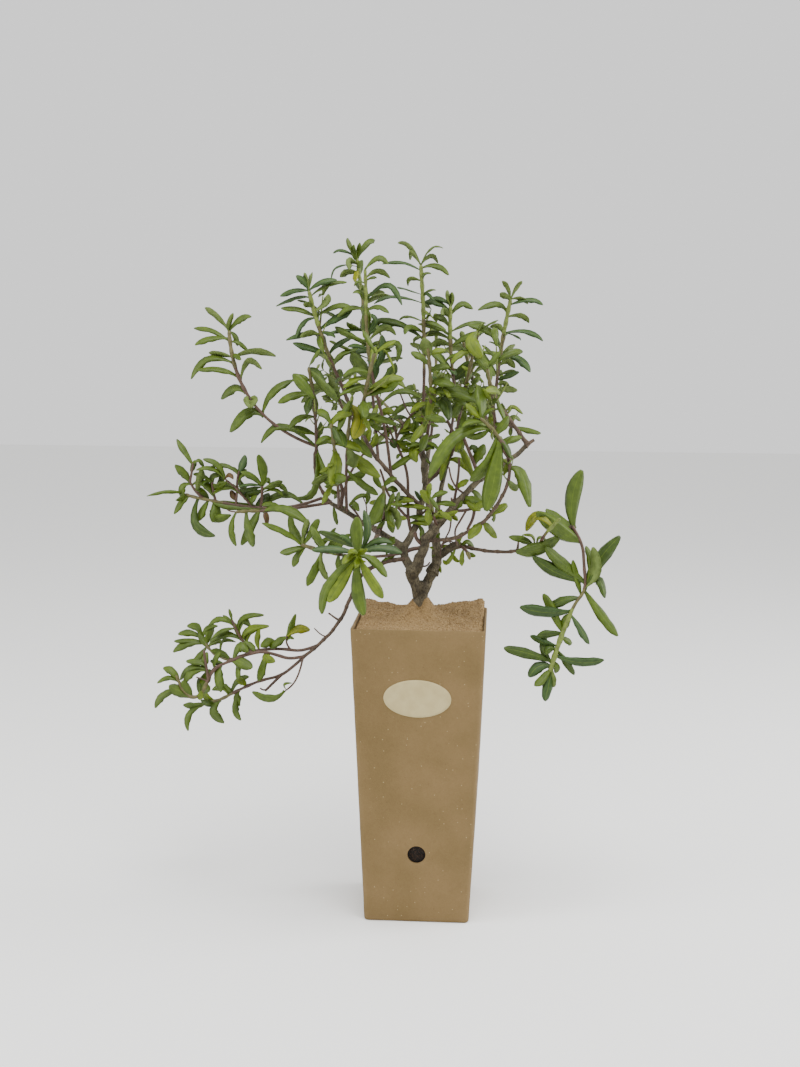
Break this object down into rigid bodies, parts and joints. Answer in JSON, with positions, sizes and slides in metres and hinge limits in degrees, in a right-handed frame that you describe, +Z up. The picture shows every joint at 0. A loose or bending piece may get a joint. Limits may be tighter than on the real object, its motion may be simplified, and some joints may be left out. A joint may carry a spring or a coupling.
{
  "type": "potted rock rose",
  "caption": "Young evergreen rock rose with an open, many-stemmed crown of narrow paired leaves, in a tall tapered square cardboard tree pot with an oval label.",
  "frame": {"origin": "centre of the pot's flat underside", "axes": "+Z up along the pot and the trunk; the face with the label looks along -Y; +X is to the right seen from that face"},
  "size_m": [0.2992, 0.215, 0.4514],
  "materials": {
    "board": "matt pressed board with flecks",
    "label_paper": "matt paper",
    "potting_mix": "damp crumbly fibre",
    "dressing": "fine sandy grains",
    "trunk_bark": "rough grey-brown bark",
    "old_bark": "dull grey bark",
    "young_bark": "smooth reddish bark",
    "foliage": "soft satin green"
  },
  "bodies": {
    "root": {"pot": "board", "label": "label_paper", "potting_mix": "potting_mix", "dressing": "dressing", "trunk": "trunk_bark", "bough_arch": "young_bark", "bough_back": "old_bark", "bough_centre": "old_bark", "bough_centre_right": "young_bark", "bough_centre_top": "old_bark", "bough_dark_low": "old_bark", "bough_diagonal": "young_bark", "bough_front": "young_bark", "bough_grey": "old_bark", "bough_grey_knee": "old_bark", "bough_grey_low": "old_bark", "bough_grey_return": "young_bark", "bough_knot": "old_bark", "bough_left": "old_bark", "bough_left_up": "young_bark", "bough_low_left": "young_bark", "bough_low_left_root": "young_bark", "bough_right_arm": "young_bark", "bough_right_low": "old_bark", "bough_right_up": "old_bark", "shoot_arch": "foliage", "shoot_back_centre": "foliage", "shoot_back_left": "foliage", "shoot_back_low_left": "foliage", "shoot_back_low_right": "foliage", "shoot_back_middle": "foliage", "shoot_back_right": "foliage", "shoot_front_left": "foliage", "shoot_front_middle": "foliage", "shoot_front_right": "foliage", "shoot_left_centre": "foliage", "shoot_left_inner": "foliage", "shoot_left_tall": "foliage", "shoot_red": "foliage", "shoot_right_centre": "foliage", "shoot_right_side": "foliage", "shoot_top_left": "foliage", "shoot_top_left_front": "foliage", "shoot_top_middle": "foliage", "shoot_top_right": "foliage", "shoot_upper_left": "foliage", "shoot_yellow": "foliage", "spray_front": "foliage", "spray_left_lower": "foliage", "spray_left_upper": "foliage", "spray_low_left_over": "foliage", "spray_low_left_tip": "foliage", "spray_low_left_under": "foliage", "spray_right_arm": "foliage", "spray_right_hanging": "foliage", "sprig_inner_left": "foliage", "sprig_inner_right": "foliage", "sprig_knot": "foliage", "sprig_left": "foliage", "sprig_right": "foliage"}
  },
  "joints": []
}
